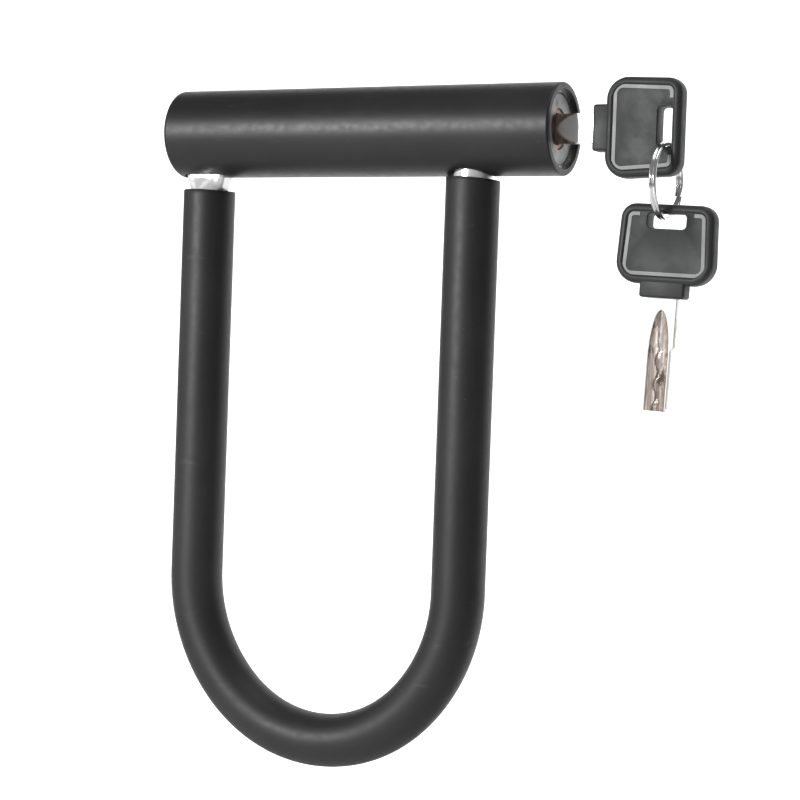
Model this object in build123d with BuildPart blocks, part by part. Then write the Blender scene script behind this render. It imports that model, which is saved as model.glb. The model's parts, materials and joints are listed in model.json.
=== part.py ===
from build123d import *
import os
from math import cos, radians, sin

# U lock: a rubber-sleeved crossbar holding a key cylinder, a bent steel shackle, and two keys on
# a split ring. Millimetres. The origin is the middle of the crossbar's axis, +X runs to the key
# end, and the shackle hangs to -Z. At rest the lock is unlocked with one key in it, so the shackle
# can be pulled straight out. Turning the key a quarter turn puts two D-shaped bolts under ledges
# in the legs.

os.makedirs("parts", exist_ok=True)

# Clearances
slide_gap = 0.3  # between pieces that move past each other
run_gap = 0.05  # shafts that turn in their holes
overcut = 1.0  # how far a cut runs past the material that it removes

# Crossbar
bar_radius = 14.0
tube_radius = 12.0
tube_bore = 10.0
mouth_bore = 11.0
mouth_depth = 3.0
sleeve_ends = (-66.2, 66.6)
sleeve_roundings = (1.4, 0.6)
plain_end, key_end = -65.4, 64.7
sleeve_hole_radius = 7.0
sleeve_slot_width, sleeve_slot_depth, sleeve_slot_round = 16.0, 9.4, 3.0
tube_hole_gap = 0.4
cap_thickness, cap_chamfer = 1.5, 0.4

# Shackle
rod_radius = 6.0
jacket_radius = 8.35
left_x, right_x = -56.3, 37.2
leg_end_z = -141.3
side_bend = 52.7
jacket_top_left = -18.2
jacket_top_right = -14.85
jacket_slant = 4.6  # degrees, the hand-cut top of the right leg's jacket
right_tip_z, left_tip_z = 6.0, 5.0
foot_width, foot_thickness, foot_round = 14.2, 7.5, 2.0
foot_full_z = -14.2
tip_chamfer = 0.8

# Bolts on the tie rod
bolt_radius_right, bolt_flat_right = 5.0, 2.3
bolt_radius_left, bolt_flat_left = 4.6, 1.8
bolt_right_x = (38.0, 41.4)
bolt_left_x = (-53.7, -49.3)
tie_radius = 1.5
tongue_width, tongue_height, tongue_length = 2.0, 7.0, 2.0
ledge_gap = 0.2

# Key cylinder
plug_radius = 6.2
plug_back, plug_face = 43.4, 64.2
plug_tail_x = 41.6
plug_chamfer = 0.3
keyway_step_x, keyway_tip_width, keyway_tip_depth = 44.4, 8.9, 1.6
housing_back = 45.2
flange_radius = 10.55
clip_x, clip_thickness, clip_radius, clip_groove = 44.1, 0.8, 8.0, 5.4
clip_mouth, clip_arm_end = 7.8, -1.0
pin_radius = 1.0
pin_rows = [47.5, 51.5, 55.5, 59.5]
driver_length, driver_chamfer, key_pin_chamfer = 1.1, 0.2, 0.4
spring_length, spring_wire, spring_turns = 1.2, 0.15, 3
cover_y, cover_width, cover_margin, cover_thickness = 9.1, 3.2, 1.7, 0.7
retaining_pin_radius = 1.5
retaining_pins = [50.0, 58.0]
retaining_pin_depth = 2.0  # how far they reach into the housing
pin_recess = 0.1  # how far the cross pins stand below the tube's skin

# Guide block for the tie rod, between the legs, and the bushes that the legs drop into
guide_x = (-34.0, 16.0)
guide_pins_x = (-30.0, 12.0)
guide_pin_inner = 6.0  # how near the axis its pins reach
bush_top = -(plug_radius + slide_gap)
bush_right_half, bush_left_reach = 6.9, 8.4

# Keys, drawn flat with u across, v from the end of the neck towards the bow, and w through
bow_length = 23.4
bow_half_near, bow_half_far = 15.15, 14.15
bow_round_near, bow_round_far = 6.5, 4.5
bow_thickness, panel_thickness = 6.8, 5.8
rim_width, rim_rounding = 2.3, 1.2
slot_v = (16.2, 20.7)
slot_half = 5.9
slot_rounding = 1.3
neck_width, neck_length, neck_thickness = 13.8, 3.9, 6.0
neck_overlap = 3.0  # how far the neck's block runs into the bow
blade_width, blade_thickness, blade_length = 9.0, 2.8, 33.0
shoulder_v, shoulder_step = 14.2, 0.9
tang_width, tang_thickness, tang_v = 8.0, 2.0, 13.0
groove_depth, groove_width, groove_spacing = 0.6, 1.5, 2.6
groove_starts = (5.1, 3.5, 5.9)  # below the neck: left, middle, right
tip_left = (3.5, 1.6)  # half width at the tip, and how far above it the taper starts
tip_right = (3.0, 1.0)
inlay_width, inlay_depth, inlay_proud = 1.0, 0.4, 0.1
inlay_inset = 3.0  # from the bow's outline to the middle of the line
inlay_end_u, inlay_far_v = 8.3, 20.3
inlay_rounds = [1.2, 2.4, 2.4, 1.2]
key_x = 80.3
blade_gap = 0.25

# Split ring: two turns of wire side by side
wire_radius, wire_offset = 0.58, 0.55
ring_radius = 10.95
ring_turn = 2.2  # degrees that the ring stands turned about Z
ring_x, ring_top_z = 98.9, -4.75
spare_lean = 2.4  # degrees from upright
spare_hook = (-1.66, 19.2)  # where the ring's wire crosses the spare key's slot, as u and v


def save(part, name):
    """Label a finished piece and write its STEP file."""
    part.label = name
    export_step(part, f"parts/{name}.step")


def across(x):
    """The plane at x along the crossbar, drawn as y across and z up."""
    return Plane((x, 0, 0), x_dir=(0, 1, 0), z_dir=(1, 0, 0))


def outward(x, y):
    """A plane facing +Y at one point of the crossbar."""
    return Plane((x, y, 0), x_dir=(1, 0, 0), z_dir=(0, 1, 0))


def key_plane(x, z, lean):
    """A key's own plane, with its bow leaning from +Z towards +X by an angle in degrees."""
    a = radians(lean)
    return Plane((x, 0, z), x_dir=(cos(a), 0, -sin(a)), z_dir=(0, -1, 0))


# ---------------------------------------------------------------- crossbar

with BuildPart() as crossbar_sleeve:
    with BuildSketch(across(sleeve_ends[0])):
        Circle(bar_radius)
        Circle(tube_radius, mode=Mode.SUBTRACT)
    extrude(amount=sleeve_ends[1] - sleeve_ends[0])
    for end, rounding in zip((0, -1), sleeve_roundings):
        rims = crossbar_sleeve.edges().filter_by(GeomType.CIRCLE).group_by(SortBy.RADIUS)[-1]
        fillet(rims.sort_by(Axis.X)[end], rounding)
    with BuildSketch(Plane.XY.offset(-bar_radius - overcut)):
        with Locations((right_x, 0)):
            Circle(sleeve_hole_radius)
        with Locations((left_x, 0)):
            RectangleRounded(sleeve_slot_width, sleeve_slot_depth, sleeve_slot_round)
    extrude(amount=bar_radius, mode=Mode.SUBTRACT)
save(crossbar_sleeve.part, "crossbar_sleeve")

with BuildPart() as crossbar_tube:
    with BuildSketch(across(plain_end)):
        Circle(tube_radius)
        Circle(tube_bore, mode=Mode.SUBTRACT)
    extrude(amount=key_end - plain_end)
    with BuildSketch(across(key_end)):
        Circle(mouth_bore)
    extrude(amount=-mouth_depth, mode=Mode.SUBTRACT)
    with BuildSketch(Plane.XY.offset(-bar_radius)):
        with Locations((right_x, 0)):
            Circle(rod_radius + tube_hole_gap)
        with Locations((left_x, 0)):
            RectangleRounded(foot_width + 2 * tube_hole_gap, foot_thickness + 2 * tube_hole_gap, foot_round)
    extrude(amount=bar_radius, mode=Mode.SUBTRACT)
    for places, sides in ((retaining_pins, [-1]), (guide_pins_x, [-1, 1])):
        for x in places:
            for side in sides:
                with BuildSketch(outward(x, side * (tube_bore - overcut))):
                    Circle(retaining_pin_radius)
                extrude(amount=side * (tube_radius - tube_bore + 2 * overcut), mode=Mode.SUBTRACT)
save(crossbar_tube.part, "crossbar_tube")

with BuildPart() as end_cap:
    with BuildSketch(across(plain_end)):
        Circle(tube_bore)
    extrude(amount=cap_thickness)
    chamfer(end_cap.edges().group_by(Axis.X)[0], cap_chamfer)
save(end_cap.part, "end_cap")

# ---------------------------------------------------------------- lock housing and its pins

driver_y = plug_radius + 2 * run_gap
spring_y = driver_y + driver_length + 5 * run_gap


def cover_shape():
    """The outline of the strip that closes the pin holes, lying on its seat in the housing."""
    with BuildSketch(outward((pin_rows[0] + pin_rows[-1]) / 2, cover_y), mode=Mode.PRIVATE) as shape:
        Rectangle(pin_rows[-1] - pin_rows[0] + 2 * cover_margin, cover_width)
    return shape.sketch


with BuildPart() as lock_housing:
    with BuildSketch(across(housing_back)):
        Circle(tube_bore)
    extrude(amount=key_end - housing_back)
    with BuildSketch(across(key_end)):
        Circle(flange_radius)
    extrude(amount=-(mouth_depth - run_gap))
    with BuildSketch(across(housing_back)):
        Circle(plug_radius + run_gap)
    extrude(amount=key_end - housing_back, mode=Mode.SUBTRACT)
    for x in pin_rows:
        with BuildSketch(outward(x, plug_radius / 2)):
            Circle(pin_radius + run_gap)
        extrude(amount=tube_bore, mode=Mode.SUBTRACT)
    extrude(cover_shape(), amount=tube_bore - cover_y + overcut, mode=Mode.SUBTRACT)
    for x in retaining_pins:
        with BuildSketch(outward(x, -tube_bore - overcut)):
            Circle(retaining_pin_radius)
        extrude(amount=retaining_pin_depth + overcut, mode=Mode.SUBTRACT)
save(lock_housing.part, "lock_housing")

with BuildPart() as housing_pins:
    for x in retaining_pins:
        with BuildSketch(outward(x, -tube_radius + pin_recess)):
            Circle(retaining_pin_radius)
        extrude(amount=tube_radius - pin_recess - tube_bore + retaining_pin_depth)
save(housing_pins.part, "housing_pins")

with BuildPart() as driver_pins:
    for x in pin_rows:
        with BuildSketch(outward(x, driver_y)):
            Circle(pin_radius)
        extrude(amount=driver_length)
    chamfer(driver_pins.edges().group_by(Axis.Y)[0], driver_chamfer)
save(driver_pins.part, "driver_pins")

coil_radius = pin_radius - 2 * spring_wire
springs = []
for x in pin_rows:
    with BuildPart() as coil:
        with BuildLine():
            turns = Helix(
                pitch=spring_length / spring_turns,
                height=spring_length,
                radius=coil_radius,
                center=(x, spring_y, 0),
                direction=(0, 1, 0),
            )
        with BuildSketch(Plane(turns @ 0, z_dir=turns % 0)):
            Circle(spring_wire)
        sweep(path=turns)
    springs.append(coil.part)
driver_springs = Compound(label="driver_springs", children=springs)
export_step(driver_springs, "parts/driver_springs.step")

with BuildPart() as spring_cover:
    extrude(cover_shape(), amount=cover_thickness)
save(spring_cover.part, "spring_cover")

# ---------------------------------------------------------------- guides inside the tube

with BuildPart() as guide_block:
    with BuildSketch(across(guide_x[0])):
        Circle(tube_bore)
        Circle(tie_radius + run_gap, mode=Mode.SUBTRACT)
    extrude(amount=guide_x[1] - guide_x[0])
    for x in guide_pins_x:
        for side in (-1, 1):
            with BuildSketch(outward(x, side * guide_pin_inner)):
                Circle(retaining_pin_radius)
            extrude(amount=side * tube_bore, mode=Mode.SUBTRACT)
save(guide_block.part, "guide_block")

with BuildPart() as guide_pins:
    for x in guide_pins_x:
        for side in (-1, 1):
            with BuildSketch(outward(x, side * guide_pin_inner)):
                Circle(retaining_pin_radius)
            extrude(amount=side * (tube_radius - pin_recess - guide_pin_inner))
save(guide_pins.part, "guide_pins")

with BuildPart() as leg_bush_right:
    with BuildSketch(across(right_x - bush_right_half)):
        Circle(tube_bore - run_gap)
    extrude(amount=2 * bush_right_half)
    split(bisect_by=Plane.XY.offset(bush_top), keep=Keep.BOTTOM)
    with BuildSketch(Plane.XY.offset(-bar_radius)):
        with Locations((right_x, 0)):
            Circle(rod_radius + slide_gap)
    extrude(amount=bar_radius, mode=Mode.SUBTRACT)
save(leg_bush_right.part, "leg_bush_right")

with BuildPart() as leg_bush_left:
    with BuildSketch(across(plain_end + cap_thickness)):
        Circle(tube_bore - run_gap)
    extrude(amount=left_x + bush_left_reach - (plain_end + cap_thickness))
    split(bisect_by=Plane.XY.offset(bush_top), keep=Keep.BOTTOM)
    with BuildSketch(Plane.XY.offset(-bar_radius)):
        with Locations((left_x, 0)):
            RectangleRounded(foot_width + 2 * slide_gap, foot_thickness + 2 * slide_gap, foot_round)
    extrude(amount=bar_radius, mode=Mode.SUBTRACT)
save(leg_bush_left.part, "leg_bush_left")

# ---------------------------------------------------------------- plug, with its pins and clip

with BuildPart() as lock_plug:
    with BuildSketch(across(plug_back)):
        Circle(plug_radius)
    extrude(amount=plug_face - plug_back)
    chamfer(lock_plug.edges().group_by(Axis.X)[-1], plug_chamfer)
    with BuildSketch(across(plug_tail_x)):
        Circle(bolt_radius_right)
        with Locations((bolt_radius_right + bolt_flat_right, 0)):
            Rectangle(2 * bolt_radius_right, 2 * bolt_radius_right, mode=Mode.SUBTRACT)
    extrude(amount=plug_back - plug_tail_x)
    with BuildSketch(across(plug_tail_x)):
        Rectangle(tongue_width, tongue_height)
    extrude(amount=-tongue_length)
    # keyway, narrower at the end where the blade tapers
    with BuildSketch(across(plug_face)):
        Rectangle(blade_thickness + 2 * blade_gap, blade_width + 2 * blade_gap)
    extrude(amount=-(plug_face - keyway_step_x), mode=Mode.SUBTRACT)
    with BuildSketch(across(keyway_step_x)):
        Rectangle(blade_thickness + 2 * blade_gap, keyway_tip_width)
    extrude(amount=-keyway_tip_depth, mode=Mode.SUBTRACT)
    # clip groove
    with BuildSketch(across(clip_x)):
        Circle(plug_radius + overcut)
        Circle(clip_groove, mode=Mode.SUBTRACT)
    extrude(amount=clip_thickness, mode=Mode.SUBTRACT)
    for x in pin_rows:
        with BuildSketch(outward(x, 0)):
            Circle(pin_radius + run_gap)
        extrude(amount=plug_radius + overcut, mode=Mode.SUBTRACT)
save(lock_plug.part, "lock_plug")

with BuildPart() as key_pins:
    for x in pin_rows:
        with BuildSketch(outward(x, blade_thickness / 2 + run_gap)):
            Circle(pin_radius)
        extrude(amount=plug_radius - 2 * run_gap - blade_thickness / 2)
    chamfer(key_pins.edges().group_by(Axis.Y)[0], key_pin_chamfer)
save(key_pins.part, "key_pins")

with BuildPart() as plug_clip:
    with BuildSketch(across(clip_x)):
        Circle(clip_radius)
        Circle(clip_groove, mode=Mode.SUBTRACT)
        with Locations((0, clip_arm_end)):
            Rectangle(clip_mouth, clip_radius, align=(Align.CENTER, Align.MAX), mode=Mode.SUBTRACT)
    extrude(amount=clip_thickness)
save(plug_clip.part, "plug_clip")

# ---------------------------------------------------------------- tie rod and bolts


def d_bolt(ends, radius, flat):
    """A D-shaped bolt between two places along X, with its flat on the +Y side."""
    with BuildPart() as bolt:
        with BuildSketch(across(ends[0])):
            Circle(radius)
            with Locations((radius + flat, 0)):
                Rectangle(2 * radius, 2 * radius, mode=Mode.SUBTRACT)
            Circle(tie_radius, mode=Mode.SUBTRACT)
        extrude(amount=ends[1] - ends[0])
    return bolt.part


slot_depth = tongue_length + 2 * run_gap
right_blank = d_bolt(bolt_right_x, bolt_radius_right, bolt_flat_right)
with BuildPart() as bolt_right:
    add(right_blank)
    with BuildSketch(across(bolt_right_x[1])):
        Rectangle(tongue_width + 2 * run_gap, tongue_height + 2 * run_gap)
    extrude(amount=-slot_depth, mode=Mode.SUBTRACT)
save(bolt_right.part, "bolt_right")

left_blank = d_bolt(bolt_left_x, bolt_radius_left, bolt_flat_left)
with BuildPart() as bolt_left:
    add(left_blank)
    chamfer(bolt_left.edges().filter_by(GeomType.CIRCLE).group_by(SortBy.RADIUS)[-1], 0.3)
save(bolt_left.part, "bolt_left")

with BuildPart() as tie_rod:
    with BuildSketch(across(bolt_left_x[0])):
        Circle(tie_radius)
    extrude(amount=bolt_right_x[1] - slot_depth - bolt_left_x[0])
save(tie_rod.part, "tie_rod")

# ---------------------------------------------------------------- shackle

middle_x = (left_x + right_x) / 2
corner = radians(45)
bottom_bend = side_bend - (side_bend - (right_x - left_x) / 2) / cos(corner)
bottom_z = leg_end_z - (side_bend - bottom_bend) * sin(corner)


def section(plane, outer, inner):
    """The round or ring-shaped section of a bar or tube, standing on a plane."""
    with BuildSketch(plane, mode=Mode.PRIVATE) as profile:
        Circle(outer)
        if inner:
            Circle(inner, mode=Mode.SUBTRACT)
    return profile.sketch


def u_bar(outer, inner, left_top, right_top):
    """A bar or tube bent to the shackle's line: two straight legs and three arcs that meet smoothly."""
    reach = bottom_bend * cos(corner)
    junction = Plane((middle_x - reach, 0, bottom_z - reach), x_dir=(0, 1, 0), z_dir=(1, 0, -1))
    with BuildPart() as bar:
        for x, top, inward in ((left_x, left_top, 1), (right_x, right_top, -1)):
            leg_end = section(Plane((x, 0, leg_end_z)), outer, inner)
            side_pivot = Axis((x + inward * side_bend, 0, leg_end_z), (0, -inward, 0))
            extrude(leg_end, amount=top - leg_end_z)
            revolve(leg_end, axis=side_pivot, revolution_arc=45)
        base_pivot = Axis((middle_x, 0, bottom_z), (0, -1, 0))
        revolve(section(junction, outer, inner), axis=base_pivot, revolution_arc=90)
    return bar.part


def notch(x, side, radius, flat, top):
    """The cut that a D-shaped bolt turns in, open at the front, which leaves a ledge behind and above it."""
    low = -radius - slide_gap
    ledge = flat + ledge_gap
    with BuildSketch(across(x), mode=Mode.PRIVATE) as cut:
        with Locations((-side, low)):
            Rectangle(side + ledge, top + overcut - low, align=(Align.MIN, Align.MIN))
        with Locations((0, low)):
            Rectangle(side, ledge - low, align=(Align.MIN, Align.MIN))
    return cut.sketch


rod_blank = u_bar(rod_radius, 0, jacket_top_left, right_tip_z)
notch_side = right_x + rod_radius + overcut
with BuildPart() as shackle_rod:
    add(rod_blank)
    # pressed foot: the round leg flattens into a rounded block
    with BuildSketch(Plane((left_x, 0, jacket_top_left))):
        Circle(rod_radius)
    with BuildSketch(Plane((left_x, 0, foot_full_z))):
        RectangleRounded(foot_width, foot_thickness, foot_round)
    loft()
    with BuildSketch(Plane((left_x, 0, foot_full_z))):
        RectangleRounded(foot_width, foot_thickness, foot_round)
    extrude(amount=left_tip_z - foot_full_z)
    tips = shackle_rod.faces().filter_by(Plane.XY).filter_by(lambda f: f.center().Z > 0)
    chamfer(tips.edges(), tip_chamfer)
    # right leg: bolt notch on the key side, leaving one ledge in the corner behind and above
    bolt_cut = bolt_right_x[0] - slide_gap
    side_right = rod_radius + overcut
    extrude(notch(bolt_cut, side_right, bolt_radius_right, bolt_flat_right, right_tip_z),
            amount=notch_side - bolt_cut, mode=Mode.SUBTRACT)
    # right leg: slot that drops over the tie rod
    with BuildSketch(across(right_x - rod_radius - overcut)):
        Circle(tie_radius + slide_gap)
        Rectangle(2 * (tie_radius + slide_gap), right_tip_z + overcut, align=(Align.CENTER, Align.MIN))
    extrude(amount=2 * rod_radius, mode=Mode.SUBTRACT)
    # left foot: the same notch for the far bolt
    foot_cut = bolt_left_x[0] - slide_gap
    extrude(notch(foot_cut, foot_thickness, bolt_radius_left, bolt_flat_left, left_tip_z),
            amount=left_x + foot_width / 2 + overcut - foot_cut, mode=Mode.SUBTRACT)
save(shackle_rod.part, "shackle_rod")

jacket_blank = u_bar(jacket_radius, rod_radius, jacket_top_left, jacket_top_right + 2 * overcut)
slant_plane = Plane((right_x, 0, jacket_top_right)).rotated((0, jacket_slant, 0))
with BuildPart() as shackle_sleeve:
    add(jacket_blank)
    with BuildSketch(slant_plane):
        Rectangle(3 * jacket_radius, 3 * jacket_radius)
    extrude(amount=jacket_radius, mode=Mode.SUBTRACT)
save(shackle_sleeve.part, "shackle_sleeve")

# ---------------------------------------------------------------- keys


def bow_outline(inset):
    """The bow's rounded trapezoid, drawn inset by a distance."""
    near, far = bow_half_near - inset, bow_half_far - inset
    with BuildSketch(mode=Mode.PRIVATE) as outline:
        with BuildLine():
            Polyline(
                (-near, inset),
                (near, inset),
                (far, bow_length - inset),
                (-far, bow_length - inset),
                close=True,
            )
        make_face()
        corners = outline.vertices().group_by(Axis.Y)
        fillet(corners[0], bow_round_near - inset)
        fillet(corners[-1], bow_round_far - inset)
    return outline.sketch


full_outline = bow_outline(0)
panel_outline = bow_outline(rim_width)
inlay_near_u = bow_half_near - inlay_inset
inlay_far_u = bow_half_far - inlay_inset
right_half = [(inlay_end_u, inlay_far_v), (inlay_far_u, inlay_far_v), (inlay_near_u, inlay_inset)]
inlay_path = right_half + [(-u, v) for u, v in reversed(right_half)]


def inlay_strips(plane, low, high):
    """The pale U-shaped line on both faces of a bow, between two heights from the middle."""
    with BuildPart() as strips:
        for side in (1, -1):
            with BuildSketch(plane.offset(side * low)):
                with BuildLine():
                    FilletPolyline(*inlay_path, radius=inlay_rounds)
                trace(line_width=inlay_width)
            extrude(amount=side * (high - low))
    return strips.part


def key_tang(plane):
    """The hidden end of the blade that the bow is moulded around."""
    with BuildPart() as tang:
        with BuildSketch(plane.offset(-tang_thickness / 2)):
            with Locations((0, -neck_length)):
                Rectangle(tang_width, tang_v + neck_length, align=(Align.CENTER, Align.MIN))
        extrude(amount=tang_thickness)
    return tang.part


def make_bow(plane):
    """A moulded bow with a raised rim, sunk panels, a ring slot and the neck."""
    panel = panel_thickness / 2
    tang = key_tang(plane)
    line = inlay_strips(plane, panel - inlay_depth, panel + inlay_depth)
    with BuildPart() as bow:
        with BuildSketch(plane.offset(-bow_thickness / 2)):
            add(full_outline)
        extrude(amount=bow_thickness)
        rim = bow.edges().filter_by(lambda e: abs(abs(e.center().Y) - bow_thickness / 2) < 0.01)
        fillet(rim, rim_rounding)
        with BuildSketch(plane.offset(-neck_thickness / 2)):
            with Locations((0, -neck_length)):
                Rectangle(neck_width, neck_length + neck_overlap, align=(Align.CENTER, Align.MIN))
        extrude(amount=neck_thickness)
        for side in (1, -1):
            with BuildSketch(plane.offset(side * panel)):
                add(panel_outline)
            extrude(amount=side * bow_thickness, mode=Mode.SUBTRACT)
        with BuildSketch(plane.offset(-bow_thickness)):
            with Locations((0, sum(slot_v) / 2)):
                RectangleRounded(2 * slot_half, slot_v[1] - slot_v[0], slot_rounding)
        extrude(amount=2 * bow_thickness, mode=Mode.SUBTRACT)
        add(line, mode=Mode.SUBTRACT)
        add(tang, mode=Mode.SUBTRACT)
    return bow.part


def make_blade(plane):
    """A flat blade with a shoulder on one edge, three grooves on each face and a tapered tip."""
    tip = -neck_length - blade_length
    half = blade_width / 2
    tang = key_tang(plane)
    with BuildPart() as blade:
        with BuildSketch(plane.offset(-blade_thickness / 2)):
            with BuildLine():
                Polyline(
                    (-half, -neck_length),
                    (half, -neck_length),
                    (half, -neck_length - shoulder_v),
                    (half - shoulder_step, -neck_length - shoulder_v - shoulder_step),
                    (half - shoulder_step, tip + tip_right[1]),
                    (tip_right[0], tip),
                    (-tip_left[0], tip),
                    (-half, tip + tip_left[1]),
                    close=True,
                )
            make_face()
        extrude(amount=blade_thickness)
        for side in (1, -1):
            for place, start in zip((-1, 0, 1), groove_starts):
                top = -neck_length - start
                with BuildSketch(plane.offset(side * (blade_thickness / 2 - groove_depth))):
                    with Locations((place * groove_spacing, (top + tip - groove_width) / 2)):
                        SlotOverall(top - tip + groove_width, groove_width, rotation=90)
                extrude(amount=side * blade_thickness, mode=Mode.SUBTRACT)
        add(tang)
    return blade.part


upright = radians(spare_lean)
hook_u, hook_v = spare_hook
ring_low_z = ring_top_z - 2 * ring_radius
spare_x = ring_x - hook_u * cos(upright) - hook_v * sin(upright)
spare_z = ring_low_z + hook_u * sin(upright) - hook_v * cos(upright)
key_frames = {
    "key": key_plane(key_x, 0, 90),
    "spare": key_plane(spare_x, spare_z, spare_lean),
}
panel_half = panel_thickness / 2
for name, plane in key_frames.items():
    save(make_blade(plane), f"{name}_blade")
    save(make_bow(plane), f"{name}_bow")
    strips = inlay_strips(plane, panel_half - inlay_depth, panel_half + inlay_proud)
    save(strips, f"{name}_inlay")

# ---------------------------------------------------------------- split ring

ring_z = ring_top_z - ring_radius
turn = radians(ring_turn)
ring_plane = Plane((ring_x, 0, ring_z), x_dir=(cos(turn), -sin(turn), 0), z_dir=(-sin(turn), -cos(turn), 0))
with BuildPart() as split_ring:
    with BuildSketch(ring_plane):
        with Locations((-wire_offset, ring_radius), (wire_offset, ring_radius)):
            Circle(wire_radius)
    revolve(axis=Axis(ring_plane.origin, ring_plane.x_dir))
save(split_ring.part, "split_ring")
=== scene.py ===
import json
from math import cos, pi, radians, sin, sqrt

import bmesh
import bpy
from mathutils import Matrix, Vector, noise


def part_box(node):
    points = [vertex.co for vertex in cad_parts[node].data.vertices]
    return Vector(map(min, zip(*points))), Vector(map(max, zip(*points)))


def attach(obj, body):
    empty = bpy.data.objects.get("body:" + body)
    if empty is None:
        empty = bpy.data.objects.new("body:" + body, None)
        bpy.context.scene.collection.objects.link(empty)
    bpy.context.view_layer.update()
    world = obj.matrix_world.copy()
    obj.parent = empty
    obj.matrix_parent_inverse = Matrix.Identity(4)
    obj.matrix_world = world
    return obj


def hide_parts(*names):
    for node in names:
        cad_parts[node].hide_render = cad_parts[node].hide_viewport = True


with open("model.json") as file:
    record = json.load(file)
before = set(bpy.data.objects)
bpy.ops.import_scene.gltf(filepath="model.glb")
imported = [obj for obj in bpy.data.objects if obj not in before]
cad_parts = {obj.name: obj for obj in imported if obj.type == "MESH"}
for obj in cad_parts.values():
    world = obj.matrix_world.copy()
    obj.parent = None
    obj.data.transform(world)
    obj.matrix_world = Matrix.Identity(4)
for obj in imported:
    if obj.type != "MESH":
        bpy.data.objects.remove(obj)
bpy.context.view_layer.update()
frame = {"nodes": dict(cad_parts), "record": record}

# The u lock's looks. Metres, in the row frame: the origin is the middle of the crossbar's axis, +X
# runs to the key end, and the shackle hangs to -Z. A size in millimetres is written N * MM.

MM = 0.001
nodes = frame["nodes"]
joints = {joint["name"]: joint for joint in frame["record"]["behaviour"]["joints"]}


# ---------------------------------------------------------------- mesh helpers


def open_mesh(name, verts, faces):
    """A new mesh from lists of vertices and faces, and a bmesh of it to work on."""
    mesh = bpy.data.meshes.new(name)
    mesh.from_pydata([tuple(v) for v in verts], [], faces)
    work = bmesh.new()
    work.from_mesh(mesh)
    return mesh, work


def close_mesh(name, mesh, work):
    """Writes a bmesh back to its mesh and puts a smooth object of it in the scene."""
    work.to_mesh(mesh)
    work.free()
    for polygon in mesh.polygons:
        polygon.use_smooth = True
    obj = bpy.data.objects.new(name, mesh)
    bpy.context.scene.collection.objects.link(obj)
    return obj


def mesh_object(name, verts, faces):
    """A new object from lists of vertices and faces, with its normals facing out."""
    mesh, work = open_mesh(name, verts, faces)
    bmesh.ops.remove_doubles(work, verts=work.verts, dist=0.002 * MM)
    bmesh.ops.recalc_face_normals(work, faces=work.faces)
    return close_mesh(name, mesh, work)


def bridge(first, second, count):
    """Quads between two closed rings of vertices that start at these indices."""
    return [
        (first + i, first + (i + 1) % count, second + (i + 1) % count, second + i)
        for i in range(count)
    ]


def sharpen(obj, angle):
    """Keeps edges sharper than an angle in degrees crisp on a smooth mesh."""
    obj.data.set_sharp_from_angle(angle=radians(angle))


# ---------------------------------------------------------------- materials


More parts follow.
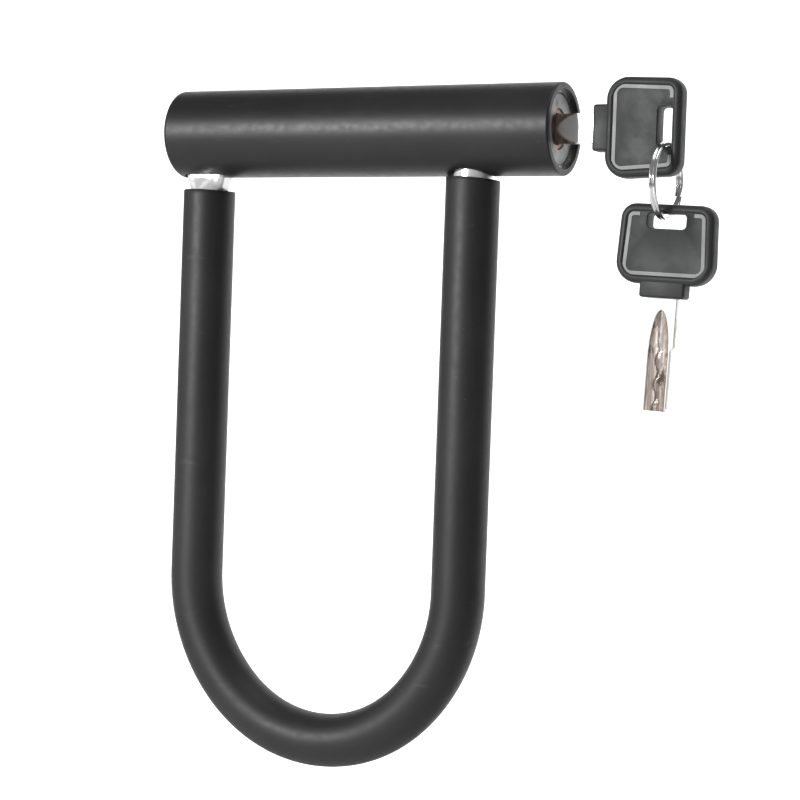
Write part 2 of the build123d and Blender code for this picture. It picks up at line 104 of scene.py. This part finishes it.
class Look:
    """A procedural material being put together: a principled shader and the nodes that feed it."""

    def __init__(self, name, colour, roughness, metallic=0.0, specular=0.5):
        self.material = bpy.data.materials.new(name)
        self.material.use_nodes = True
        self.tree = self.material.node_tree
        self.shader = self.tree.nodes["Principled BSDF"]
        self.shader.inputs["Base Color"].default_value = (*colour, 1.0)
        self.shader.inputs["Roughness"].default_value = roughness
        self.shader.inputs["Metallic"].default_value = metallic
        self.shader.inputs["Specular IOR Level"].default_value = specular
        self.colour = self.shader.inputs["Base Color"]
        self.bump = None
        self.where = self.tree.nodes.new("ShaderNodeTexCoord").outputs["Object"]

    def link(self, source, target):
        self.tree.links.new(source, target)

    def stretched(self, stretch):
        """Object coordinates scaled differently along each axis."""
        mapping = self.tree.nodes.new("ShaderNodeMapping")
        mapping.inputs["Scale"].default_value = stretch
        self.link(self.where, mapping.inputs["Vector"])
        return mapping.outputs["Vector"]

    def noise(self, scale, detail=4.0, rough=0.55, stretch=(1, 1, 1)):
        """A noise field; scale is in features per metre."""
        node = self.tree.nodes.new("ShaderNodeTexNoise")
        node.inputs["Scale"].default_value = scale
        node.inputs["Detail"].default_value = detail
        node.inputs["Roughness"].default_value = rough
        self.link(self.stretched(stretch), node.inputs["Vector"])
        return node.outputs["Fac"]

    def band(self, field, low, high, out_low=0.0, out_high=1.0):
        """A field's values between low and high, mapped smoothly to a new range."""
        node = self.tree.nodes.new("ShaderNodeMapRange")
        node.interpolation_type = "SMOOTHSTEP"
        node.inputs["From Min"].default_value = low
        node.inputs["From Max"].default_value = high
        node.inputs["To Min"].default_value = out_low
        node.inputs["To Max"].default_value = out_high
        self.link(field, node.inputs["Value"])
        return node.outputs["Result"]

    def times(self, first, second):
        """The product of two fields."""
        node = self.tree.nodes.new("ShaderNodeMath")
        node.operation = "MULTIPLY"
        self.link(first, node.inputs[0])
        self.link(second, node.inputs[1])
        return node.outputs["Value"]

    def tint(self, mask, colour):
        """Blends another colour over the base where the mask is 1."""
        mix = self.tree.nodes.new("ShaderNodeMix")
        mix.data_type = "RGBA"
        base, over = mix.inputs[6], mix.inputs[7]
        over.default_value = (*colour, 1.0)
        if self.colour.is_linked:
            self.link(self.colour.links[0].from_socket, base)
        else:
            base.default_value = self.colour.default_value
        self.link(mask, mix.inputs[0])
        self.link(mix.outputs[2], self.colour)

    def gloss(self, field, smooth, rough):
        """Roughness that follows a field between two values."""
        self.link(self.band(field, 0.3, 0.7, smooth, rough), self.shader.inputs["Roughness"])

    def relief(self, field, height, strength=1.0):
        """Adds a bump of this height in metres, on top of the bumps already there."""
        node = self.tree.nodes.new("ShaderNodeBump")
        node.inputs["Strength"].default_value = strength
        node.inputs["Distance"].default_value = height
        self.link(field, node.inputs["Height"])
        if self.bump is not None:
            self.link(self.bump, node.inputs["Normal"])
        self.bump = node.outputs["Normal"]
        self.link(self.bump, self.shader.inputs["Normal"])

    def edges(self, radius):
        """A mask that is 1 on edges, from how far a rounded normal leaves the real one."""
        bevel = self.tree.nodes.new("ShaderNodeBevel")
        bevel.samples = 4
        bevel.inputs["Radius"].default_value = radius
        flat = self.tree.nodes.new("ShaderNodeNewGeometry")
        dot = self.tree.nodes.new("ShaderNodeVectorMath")
        dot.operation = "DOT_PRODUCT"
        self.link(bevel.outputs["Normal"], dot.inputs[0])
        self.link(flat.outputs["Normal"], dot.inputs[1])
        return self.band(dot.outputs["Value"], 0.97, 0.75)


def rubber(name, colour, sheen_colour, roughness):
    """Matte vinyl: a fine pebbled skin, faint scuffs along the tube, and pale dust specks."""
    look = Look(name, colour, roughness, specular=0.42)
    look.tint(look.band(look.noise(28, 5), 0.35, 0.75), sheen_colour)
    scuffs = look.band(look.noise(160, 6, 0.65, (0.25, 1, 1)), 0.63, 0.74)
    look.tint(scuffs, tuple(1.7 * c for c in sheen_colour))
    specks = look.band(look.noise(1100, 2), 0.76, 0.82)
    look.tint(specks, (0.16, 0.16, 0.16))
    look.tint(look.edges(0.5 * MM), tuple(1.5 * c for c in sheen_colour))
    look.gloss(look.noise(420, 4), roughness - 0.01, roughness + 0.05)
    look.relief(look.noise(2600, 3), 0.03 * MM, 0.35)
    look.relief(look.noise(310, 3), 0.02 * MM, 0.25)
    return look.material


def metal(name, colour, dark, roughness, brushed=(1, 1, 1), grain=900, relief=0.01, metallic=1.0):
    """Bare metal: brushed grain, duller patches and rubbed, brighter edges."""
    look = Look(name, colour, roughness, metallic=metallic)
    look.tint(look.band(look.noise(120, 6), 0.5, 0.85), dark)
    look.tint(look.edges(0.3 * MM), tuple(min(1.0, 1.2 * c) for c in colour))
    look.gloss(look.noise(240, 5, 0.6, brushed), max(0.04, roughness - 0.05), roughness + 0.08)
    look.relief(look.noise(grain, 3, 0.5, brushed), relief * MM, 0.3)
    return look.material


def nickel(name, colour, cut_and_reflection_colour, painted_dark_reflection_colour, roughness):
    """Satin nickel plate, bright on flat faces and brownish, streaked and duller where it is milled;
    the milled brown is darkened as painted dark reflection, with darker painted-reflection patches.
    """
    look = Look(name, colour, roughness, metallic=0.4)
    milled = look.tree.nodes.new("ShaderNodeAttribute")
    milled.attribute_name = "milled"
    streaks = look.band(look.noise(620, 5, 0.6, (1, 1, 0.10)), 0.30, 0.62, 0.35, 1.0)
    patches = look.band(look.noise(420, 6, 0.7, (1, 1, 0.4)), 0.50, 0.64)
    # painted dark reflection: milled cuts get a darker brown than bare cut metal, and darker patches,
    # for the dark surroundings they reflect
    look.tint(look.times(milled.outputs["Fac"], streaks), cut_and_reflection_colour)
    look.tint(look.times(milled.outputs["Fac"], patches), painted_dark_reflection_colour)
    look.gloss(look.noise(300, 4), roughness - 0.04, roughness + 0.06)
    look.relief(look.noise(800, 3, 0.5, (1, 1, 0.3)), 0.01 * MM, 0.3)
    tool_marks = look.noise(900, 4, 0.6, (1, 1, 0.25))
    look.relief(look.times(milled.outputs["Fac"], tool_marks), 0.12 * MM, 0.8)
    return look.material


def cast(name, colour, dark, roughness):
    """Die-cast metal: mottled, finely pitted and not shiny."""
    look = Look(name, colour, roughness, metallic=0.75)
    look.tint(look.band(look.noise(260, 6), 0.4, 0.75), dark)
    look.tint(look.edges(0.25 * MM), (0.62, 0.62, 0.62))
    look.gloss(look.noise(500, 4), roughness - 0.06, roughness + 0.1)
    look.relief(look.noise(1500, 5, 0.7), 0.05 * MM, 0.5)
    return look.material


def plastic(name, colour, worn, roughness, texture=0.03):
    """Moulded plastic: fine spark texture, faint flow marks and rubbed edges."""
    look = Look(name, colour, roughness, specular=0.45)
    look.tint(look.band(look.noise(90, 5), 0.35, 0.75), tuple(1.15 * c for c in colour))
    look.tint(look.edges(0.5 * MM), worn)
    look.gloss(look.noise(150, 4), roughness - 0.05, roughness + 0.07)
    look.relief(look.noise(3200, 2), texture * MM, 0.4)
    look.relief(look.noise(420, 3), 0.006 * MM, 0.3)
    return look.material


looks = {
    "bar_rubber": rubber("bar_rubber", (0.010, 0.010, 0.0104), (0.016, 0.016, 0.0164), 0.42),
    "leg_rubber": rubber("leg_rubber", (0.013, 0.013, 0.0134), (0.020, 0.020, 0.0204), 0.48),
    "bare_steel": metal(
        "bare_steel", (0.90, 0.90, 0.91), (0.70, 0.70, 0.71), 0.22,
        brushed=(1, 1, 0.2), grain=1100, metallic=0.45,
    ),
    "tube_steel": metal(
        "tube_steel", (0.82, 0.82, 0.83), (0.55, 0.54, 0.52), 0.25,
        brushed=(0.2, 1, 1),
    ),
    "zinc": cast("zinc", (0.34, 0.34, 0.34), (0.20, 0.20, 0.20), 0.50),
    # the plug's brass is far darker than the pin's brass: painted dark reflection and shade of its
    # recess in the bar end
    "plug_brass": metal(
        "plug_brass", (0.20, 0.125, 0.09), (0.07, 0.045, 0.035), 0.36,
        grain=700, relief=0.03,
    ),
    "pin_brass": metal("pin_brass", (0.80, 0.62, 0.30), (0.50, 0.36, 0.16), 0.28),
    "spring_steel": metal("spring_steel", (0.66, 0.66, 0.68), (0.40, 0.40, 0.42), 0.30),
    "hard_steel": metal("hard_steel", (0.45, 0.45, 0.47), (0.24, 0.23, 0.22), 0.36),
    "inner_plastic": plastic("inner_plastic", (0.09, 0.09, 0.10), (0.16, 0.16, 0.17), 0.5),
    "key_plastic": plastic("key_plastic", (0.020, 0.021, 0.022), (0.034, 0.035, 0.036), 0.55),
    "key_line": plastic("key_line", (0.20, 0.20, 0.20), (0.29, 0.29, 0.285), 0.4, texture=0.01),
    # the blade's milled brown and its darker patches are both set dark as painted dark reflection
    "key_steel": nickel(
        "key_steel", (0.90, 0.88, 0.86), (0.27, 0.205, 0.165), (0.075, 0.05, 0.036), 0.12,
    ),
    "ring_chrome": metal(
        "ring_chrome", (0.90, 0.90, 0.91), (0.74, 0.74, 0.75), 0.10,
        grain=300, relief=0.002,
    ),
}


def paint(obj, slot_name):
    """Gives an object the material for the record's slot it stands for."""
    obj.data.materials.clear()
    obj.data.materials.append(looks[slot_name])


# ---------------------------------------------------------------- pieces carried over from the CAD

for entry in frame["record"]["subparts"]:
    node = nodes[entry["node"]]
    node.data.materials.clear()
    node.data.materials.append(looks[entry["material_slot"]])


# ---------------------------------------------------------------- rubber jacket on the shackle

# straight down both legs, then round two side bends and a tighter one at the bottom
SIDE_BEND = 52.7 * MM
STRAIGHT_END = -141.3 * MM
LEFT_TOP, RIGHT_TOP = -18.1 * MM, -14.1 * MM
WALL, LIP = 2.2 * MM, 0.15 * MM
RIPPLE = 0.03 * MM
LEFT_SLANT, RIGHT_SLANT = 0.012, 0.06
CUT_WAVER = 0.08 * MM
INSIDE_DEPTH = 12 * MM

jacket_low, jacket_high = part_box("shackle_sleeve")
jacket_radius = (jacket_high[1] - jacket_low[1]) / 2
leg_x = (jacket_low[0] + jacket_radius, jacket_high[0] - jacket_radius)
middle_x = sum(leg_x) / 2
corner = radians(45)
bottom_bend = SIDE_BEND - (SIDE_BEND - (leg_x[1] - leg_x[0]) / 2) / cos(corner)
bottom_z = STRAIGHT_END - (SIDE_BEND - bottom_bend) * sin(corner)


def shackle_line(step):
    """Points and directions down the left leg, round the bend and up the right leg."""
    line = []

    def straight(x, start, end):
        count = max(2, int(abs(end - start) / step))
        for i in range(count + 1):
            z = start + (end - start) * i / count
            line.append((Vector((x, 0, z)), Vector((0, 0, 1 if end > start else -1))))

    def arc(centre_x, centre_z, radius, start, end):
        count = max(2, int(radius * abs(end - start) / step))
        for i in range(1, count + 1):
            a = start + (end - start) * i / count
            place = Vector((centre_x + radius * cos(a), 0, centre_z + radius * sin(a)))
            line.append((place, Vector((-sin(a), 0, cos(a)))))

    straight(leg_x[0], LEFT_TOP, STRAIGHT_END)
    arc(leg_x[0] + SIDE_BEND, STRAIGHT_END, SIDE_BEND, pi, pi + corner)
    arc(middle_x, bottom_z, bottom_bend, pi + corner, 2 * pi - corner)
    arc(leg_x[1] - SIDE_BEND, STRAIGHT_END, SIDE_BEND, 2 * pi - corner, 2 * pi)
    straight(leg_x[1], STRAIGHT_END, RIGHT_TOP)
    return line


def leg_jacket():
    """The vinyl tube on the shackle, a little uneven, with hand-cut ends."""
    around = 72
    line = shackle_line(2.0 * MM)
    last = len(line) - 1
    # each ring's place along the line, its radius, and how far it is set back from the cut end
    end_rings = [(jacket_radius - WALL, 0.0), (jacket_radius - LIP, 0.0), (jacket_radius, LIP)]
    rings = [(0, radius, back) for radius, back in end_rings]
    rings += [(i, jacket_radius, 0.0) for i in range(1, last)]
    rings += [(last, radius, back) for radius, back in reversed(end_rings)]
    verts = []
    for index, radius, back in rings:
        place, ahead = line[index]
        side = Vector((0, 1, 0)).cross(ahead)
        for k in range(around):
            a = 2 * pi * k / around
            out = cos(a) * side + sin(a) * Vector((0, 1, 0))
            ripple = RIPPLE * noise.noise(60 * (place + radius * out)) if back == 0.0 else 0
            point = place + (radius - RIPPLE + ripple) * out
            if index == 0:
                point.z -= back + cut_height(point.x - leg_x[0], a, LEFT_SLANT)
            elif index == last:
                point.z -= back + cut_height(point.x - leg_x[1], a, RIGHT_SLANT)
            verts.append(point)
    faces = []
    for i in range(len(rings) - 1):
        faces += bridge(i * around, (i + 1) * around, around)
    # the inside wall at both open ends
    for first in (0, (len(rings) - 1) * around):
        start = len(verts)
        verts += [v - Vector((0, 0, INSIDE_DEPTH)) for v in verts[first:first + around]]
        faces += bridge(first, start, around)
    jacket = mesh_object("leg_jacket", verts, faces)
    sharpen(jacket, 50)
    return jacket


def cut_height(across, angle, slope):
    """How far below its highest point a hand-cut end lies: a slant plus a slight waver of the knife."""
    return slope * (across + jacket_radius) + CUT_WAVER * (1 + sin(2 * angle + 1.0))


jacket = leg_jacket()
paint(jacket, "leg_rubber")
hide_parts("shackle_sleeve")
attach(jacket, "shackle")


# ---------------------------------------------------------------- keys, drawn flat

# Millimetres. u runs across the key, v from the bow's neck side to its far side, and w through its
# thickness, so the neck and the blade are at negative v.
BOW_LENGTH = 23.4
BOW_NEAR, BOW_FAR = 15.15, 14.15
ROUND_NEAR, ROUND_FAR = 6.5, 4.5
SLOT_V = (16.2, 20.7)
SLOT_HALF, SLOT_ROUND = 5.9, 1.3
NECK_WIDTH, NECK_LENGTH, NECK_THICK = 13.8, 3.9, 6.0
NECK_BURIED, NECK_ROUND = 1.6, 0.8
BLADE_WIDTH, BLADE_LENGTH, BLADE_THICK = 9.0, 33.0, 2.8
BLADE_BURIED, BLADE_ROUND = 1.0, 0.22
SHOULDER_DOWN, SHOULDER_STEP = 14.2, 0.9
# how far from the tip each edge begins to run in, and how steeply
TIP_LOW, TIP_LOW_SLOPE = 1.6, 0.62
TIP_HIGH, TIP_HIGH_SLOPE = 1.0, 0.6
# how the spare key leans, and the point of it that hangs on the ring, as (u, v)
SPARE_LEAN = radians(2.4)
SPARE_HOOK = (-1.66, 19.2)

ring_pivot = Vector(joints["ring_swing"]["pos_m"])
spare_pivot = Vector(joints["spare_swing"]["pos_m"])


def key_axes(lean):
    """The directions of u and v for a key that leans by an angle."""
    return Vector((cos(lean), 0, -sin(lean))), Vector((sin(lean), 0, cos(lean)))


def key_space(origin, lean):
    """The matrix from a key's own u, v and w in millimetres to the row frame."""
    u, v = key_axes(lean)
    w = Vector((0, -1, 0))
    turned = Matrix((u, v, w)).transposed().to_4x4()
    return Matrix.Translation(origin) @ turned @ Matrix.Scale(MM, 4)


key_origin = Vector((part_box("key_bow")[1][0] - BOW_LENGTH * MM, 0, 0))
spare_u, spare_v = key_axes(SPARE_LEAN)
spare_origin = spare_pivot - SPARE_HOOK[0] * MM * spare_u - SPARE_HOOK[1] * MM * spare_v
key_spaces = {
    "key": key_space(key_origin, pi / 2),
    "spare": key_space(spare_origin, SPARE_LEAN),
}


def rounded_loop(corners, steps):
    """A closed loop through rounded corners, each given as (u, v, radius)."""
    loop = []
    for i, (u, v, radius) in enumerate(corners):
        here = Vector((u, v))
        before = (Vector(corners[i - 1][:2]) - here).normalized()
        after = (Vector(corners[(i + 1) % len(corners)][:2]) - here).normalized()
        half = before.angle(after) / 2
        centre = here + (before + after).normalized() * radius / sin(half)
        start = here + before * radius / (sin(half) / cos(half)) - centre
        end = here + after * radius / (sin(half) / cos(half)) - centre
        sweep = start.angle_signed(end)
        for k in range(steps + 1):
            a = -sweep * k / steps
            turned = Vector((start.x * cos(a) - start.y * sin(a), start.x * sin(a) + start.y * cos(a)))
            loop.append(centre + turned)
    return loop


def bow_loop(inset):
    """The bow's outline, inset by a distance in millimetres."""
    near, far = BOW_NEAR - inset, BOW_FAR - inset
    corners = [
        (-near, inset, max(1.0, ROUND_NEAR - inset)),
        (near, inset, max(1.0, ROUND_NEAR - inset)),
        (far, BOW_LENGTH - inset, max(1.0, ROUND_FAR - inset)),
        (-far, BOW_LENGTH - inset, max(1.0, ROUND_FAR - inset)),
    ]
    return rounded_loop(corners, 12)


def slot_loop(grow):
    """The ring slot's outline, grown by a distance in millimetres."""
    low, high, half = SLOT_V[0] - grow, SLOT_V[1] + grow, SLOT_HALF + grow
    radius = SLOT_ROUND + grow
    corners = [(-half, low, radius), (half, low, radius), (half, high, radius), (-half, high, radius)]
    return rounded_loop(corners, 12)


# how the bow's surface rises from its middle plane over the rim and down to the sunk panel
RIM_PROFILE = [
    (0.0, 0.0), (0.0, 1.3), (0.06, 1.9), (0.22, 2.45), (0.5, 2.9), (0.9, 3.2),
    (1.35, 3.36), (1.8, 3.38), (2.1, 3.28), (2.25, 3.1), (2.35, 2.93), (2.5, 2.9),
]
# how it rises again to a low lip around the ring slot, then turns into it
LIP_PROFILE = [(0.6, 2.9), (0.45, 2.98), (0.25, 3.0), (0.1, 2.92), (0.0, 2.7), (0.0, 0.0)]


def bow_mesh(name):
    """One moulded bow: both faces with a raised rim, a sunk panel and a lipped slot, and the neck."""
    verts, faces = [], []

    def add_rings(profile, outline, side):
        starts = []
        for inset, height in profile:
            starts.append(len(verts))
            loop = outline(inset)
            verts.extend(Vector((p.x, p.y, side * height)) for p in loop)
        count = len(loop)
        for first, second in zip(starts, starts[1:]):
            faces.extend(bridge(first, second, count))
        return starts, count

    panel_edges = []
    for side in (1, -1):
        rim, count = add_rings(RIM_PROFILE, bow_loop, side)
        lip, slot_count = add_rings(LIP_PROFILE, slot_loop, side)
        panel_edges.append((rim[-1], count))
        panel_edges.append((lip[0], slot_count))
    mesh, work = open_mesh(name, verts, faces)
    work.verts.ensure_lookup_table()
    for pair in (panel_edges[:2], panel_edges[2:]):
        border = []
        for start, count in pair:
            for i in range(count):
                a, b = work.verts[start + i], work.verts[start + (i + 1) % count]
                border.append(work.edges.get((a, b)) or work.edges.new((a, b)))
        bmesh.ops.triangle_fill(work, edges=border, use_beauty=True)
    bmesh.ops.remove_doubles(work, verts=work.verts, dist=0.002)
    bmesh.ops.recalc_face_normals(work, faces=work.faces)
    add_neck(work)
    return close_mesh(name, mesh, work)


def add_neck(work):
    """The neck's block with rounded edges, running a little way into the bow."""
    made = bmesh.ops.create_cube(work, size=1.0)["verts"]
    for vert in made:
        vert.co.x *= NECK_WIDTH
        vert.co.y = vert.co.y * (NECK_LENGTH + NECK_BURIED) - NECK_LENGTH / 2 + NECK_BURIED / 2
        vert.co.z *= NECK_THICK
    edges = {edge for vert in made for edge in vert.link_edges}
    bmesh.ops.bevel(
        work, geom=list(edges), offset=NECK_ROUND, segments=4, profile=0.5, affect="EDGES"
    )


# the arch's distance from the neck, the length it widens over, half its width, depth and side wall
ARCH_START, ARCH_RISE, ARCH_HALF, ARCH_DEPTH, ARCH_WALL = 3.4, 14.0, 3.1, 0.42, 0.25
# the channel in the arch, where it begins to wave, how far it swings and how fast
WAVE_START, WAVE_HALF, WAVE_DEPTH = 3.8, 0.55, 0.55
SWING_START, SWING, SWING_RATE = 13, 0.45, 0.9
# the two cuts' distance from the neck at the edges, how much later they reach the middle, and depth
EDGE_START, EDGE_RUN, EDGE_SLOPE, EDGE_DEPTH = 5.0, 6.1, 0.14, 0.85
# the depth at which a groove's tint, cut metal brown darkened with painted dark reflection, is at its
# full strength
FULL_TINT_DEPTH = 0.15


def arch_groove(u, down):
    """The middle groove's depth: a rounded arch with a fine channel that waves towards the tip."""
    if down < ARCH_START:
        return 0.0
    half = ARCH_HALF * sqrt(1 - max(0.0, 1 - (down - ARCH_START) / ARCH_RISE) ** 2)
    if abs(u) >= half:
        return 0.0
    across = abs(u) / half
    floor = ARCH_DEPTH * min(1.0, (1 - across) * half / ARCH_WALL)
    floor *= 0.75 + 0.25 * sin(across * pi)
    if down > WAVE_START:
        middle = SWING * sin((down - SWING_START) * SWING_RATE) if down > SWING_START else 0.0
        off = abs(u - middle) / WAVE_HALF
        if off < 1:
            floor += WAVE_DEPTH * sqrt(1 - off * off)
    return floor


def edge_grooves(u, down):
    """The other face's depth: two cuts from the edges that leave a land narrowing to a round end."""
    start = EDGE_START + EDGE_RUN * (1 - (2 * u / BLADE_WIDTH) ** 2)
    return min(EDGE_DEPTH, max(0.0, EDGE_SLOPE * (down - start)))


def blade_edges(v):
    """The blade's two edges at one place along it: a shoulder on one side and a tapered tip."""
    half = BLADE_WIDTH / 2
    down = -NECK_LENGTH - v
    low, high = -half, half
    if down > SHOULDER_DOWN:
        high = half - min(SHOULDER_STEP, down - SHOULDER_DOWN)
    left = BLADE_LENGTH - down
    if left < TIP_LOW:
        low = -half + (TIP_LOW - left) * TIP_LOW_SLOPE
    if left < TIP_HIGH:
        high = half - SHOULDER_STEP - (TIP_HIGH - left) * TIP_HIGH_SLOPE
    return low, high


def blade_mesh(name, grooves):
    """One nickel-plated blade: a groove pattern for each face, softened edges and a hidden back end."""
    across, along = 60, 300
    verts, faces, milled = [], [], []
    soft = BLADE_ROUND

    def face_grid(side, groove):
        start = len(verts)
        for j in range(along + 1):
            v = BLADE_BURIED - (BLADE_LENGTH + NECK_LENGTH + BLADE_BURIED) * j / along
            low, high = blade_edges(min(v, -NECK_LENGTH))
            for i in range(across + 1):
                u = low + (high - low) * i / across
                rim = min(u - low, high - u, v + NECK_LENGTH + BLADE_LENGTH)
                fall = soft - sqrt(max(0.0, soft ** 2 - (soft - rim) ** 2)) if rim < soft else 0.0
                depth = groove(u, -NECK_LENGTH - v)
                milled.append(min(1.0, depth / FULL_TINT_DEPTH))
                verts.append(Vector((u, v, side * (BLADE_THICK / 2 - fall - depth))))
        width = across + 1
        for j in range(along):
            for i in range(across):
                a = start + j * width + i
                faces.append((a, a + 1, a + width + 1, a + width))
        border = [start + i for i in range(across)]
        border += [start + j * width + across for j in range(along)]
        border += [start + along * width + i for i in range(across, 0, -1)]
        border += [start + j * width for j in range(along, 0, -1)]
        return border

    top, bottom = face_grid(1, grooves[0]), face_grid(-1, grooves[1])
    for i in range(len(top)):
        j = (i + 1) % len(top)
        faces.append((top[i], top[j], bottom[j], bottom[i]))
    mesh, work = open_mesh(name, verts, faces)
    bmesh.ops.recalc_face_normals(work, faces=work.faces)
    blade = close_mesh(name, mesh, work)
    mesh.attributes.new("milled", "FLOAT", "POINT").data.foreach_set("value", milled)
    return blade


# the two keys hang with opposite faces to the front
faces_shown = {"key": (edge_grooves, arch_groove), "spare": (arch_groove, edge_grooves)}
for name, body in (("key", "key"), ("spare", "spare_key")):
    bow = bow_mesh(f"{name}_bow_moulding")
    blade = blade_mesh(f"{name}_blade_milled", faces_shown[name])
    pieces = (
        (bow, "key_plastic", f"{name}_bow"),
        (blade, "key_steel", f"{name}_blade"),
    )
    for obj, slot_name, node in pieces:
        obj.data.transform(key_spaces[name])
        sharpen(obj, 40)
        paint(obj, slot_name)
        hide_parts(node)
        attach(obj, body)


# ---------------------------------------------------------------- split ring

# how far the ring is turned about Z, where its outer wire end is, and the angle the crossover takes
RING_TURN = radians(2.2)
FIRST_END = radians(-20)
CROSSOVER = 0.7
# the wire's radius, and how far each turn lies from the ring's middle plane
WIRE = 0.575 * MM
LAYER = 0.56 * MM


def ring_wire():
    """Two turns of round wire lying side by side, with one crossover and two cut ends."""
    radius = (ring_pivot.z - spare_pivot.z) / 2
    centre = (ring_pivot + spare_pivot) / 2
    level = Vector((sin(RING_TURN), cos(RING_TURN), 0))
    normal = Vector((cos(RING_TURN), -sin(RING_TURN), 0))
    around, steps = 20, 360
    verts, faces = [], []
    for i in range(steps + 1):
        t = 4 * pi * i / steps
        a = FIRST_END + t
        cross = min(1.0, max(0.0, (t - 2 * pi + CROSSOVER / 2) / CROSSOVER))
        layer = LAYER * (2 * cross * cross * (3 - 2 * cross) - 1)
        out = cos(a) * level + sin(a) * Vector((0, 0, 1))
        place = centre + radius * out + layer * normal
        for k in range(around):
            b = 2 * pi * k / around
            verts.append(place + WIRE * (cos(b) * out + sin(b) * normal))
    for i in range(steps):
        faces += bridge(i * around, (i + 1) * around, around)
    faces.append(tuple(range(around)))
    faces.append(tuple(range(steps * around, (steps + 1) * around)))
    return mesh_object("ring_wire", verts, faces)


ring = ring_wire()
sharpen(ring, 50)
paint(ring, "ring_chrome")
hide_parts("split_ring")
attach(ring, "ring")


# ---------------------------------------------------------------- stage, lights and camera


def studio_white(name, glow):
    """A plain pale material that may also give light."""
    material = bpy.data.materials.new(name)
    material.use_nodes = True
    shader = material.node_tree.nodes["Principled BSDF"]
    shader.inputs["Base Color"].default_value = (0.82, 0.82, 0.82, 1.0)
    shader.inputs["Roughness"].default_value = 0.8
    shader.inputs["Specular IOR Level"].default_value = 0.1
    shader.inputs["Emission Color"].default_value = (1.0, 1.0, 1.0, 1.0)
    shader.inputs["Emission Strength"].default_value = glow
    return material


def sweep_stage():
    """A pale floor that curves up into a glowing backdrop well behind the hanging lock."""
    floor_z, floor_front = -0.42, -1.8
    wall_y, wall_top, bend = 1.3, 1.6, 0.95
    stage_sides = (-2.0, 1.4)
    curve = [radians(9 * k) for k in range(11)]
    profile = [(wall_y - bend + bend * sin(a), floor_z + bend - bend * cos(a)) for a in curve]
    profile.append((wall_y, wall_top))
    for name, line, glow in (
        ("studio_floor", [(floor_front, floor_z), (wall_y - bend, floor_z)], 0.0),
        ("studio_backdrop", profile, 1.05),
    ):
        verts = [Vector((x, y, z)) for y, z in line for x in stage_sides]
        faces = [(2 * i, 2 * i + 1, 2 * i + 3, 2 * i + 2) for i in range(len(line) - 1)]
        surface = mesh_object(name, verts, faces)
        surface.data.materials.append(studio_white(name, glow))


def soft_light(name, place, aim, size, power):
    """A rectangular soft light facing a point."""
    data = bpy.data.lights.new(name, "AREA")
    data.shape = "RECTANGLE"
    data.size, data.size_y = size
    data.energy = power
    lamp = bpy.data.objects.new(name, data)
    lamp.location = place
    lamp.rotation_euler = (Vector(aim) - Vector(place)).to_track_quat("-Z", "Y").to_euler()
    bpy.context.scene.collection.objects.link(lamp)


def studio():
    """The sweep, a small main light, three broad fill lights and an even grey surround."""
    sweep_stage()
    soft_light("main_light", (-0.52, -1.05, 0.15), (0.0, 0, -0.05), (0.30, 0.12), 12)
    soft_light("front_card", (-0.47, -1.06, -0.08), (-0.47, 0, -0.08), (0.80, 0.26), 0.6)
    soft_light("top_light", (0.30, -0.10, 0.90), (0.02, 0, 0), (0.8, 0.4), 3)
    soft_light("left_light", (-1.00, -0.20, 0.10), (-0.03, 0, -0.08), (0.5, 0.8), 0.8)
    world = bpy.data.worlds.new("surround")
    world.use_nodes = True
    backdrop = world.node_tree.nodes["Background"]
    backdrop.inputs["Color"].default_value = (1, 1, 1, 1)
    backdrop.inputs["Strength"].default_value = 0.2
    bpy.context.scene.world = world


def place_camera():
    """The camera in front of the lock and towards its key end, nearly level and slightly rolled."""
    yaw, pitch, roll = radians(26.17), radians(1.35), radians(2.06)
    back = Vector((sin(yaw) * cos(pitch), -cos(yaw) * cos(pitch), sin(pitch)))
    level = Vector((cos(yaw), sin(yaw), 0))
    rise = back.cross(level)
    right = cos(roll) * level + sin(roll) * rise
    up = cos(roll) * rise - sin(roll) * level
    turned = Matrix((right, up, back)).transposed().to_4x4()
    data = bpy.data.cameras.new("camera")
    data.sensor_width = 36
    data.lens = 93.64
    camera = bpy.data.objects.new("camera", data)
    camera.matrix_world = Matrix.Translation((0.29943, -0.57859, -0.06785)) @ turned
    bpy.context.scene.collection.objects.link(camera)
    bpy.context.scene.camera = camera


studio()
place_camera()
bpy.context.scene.view_settings.view_transform = "Standard"
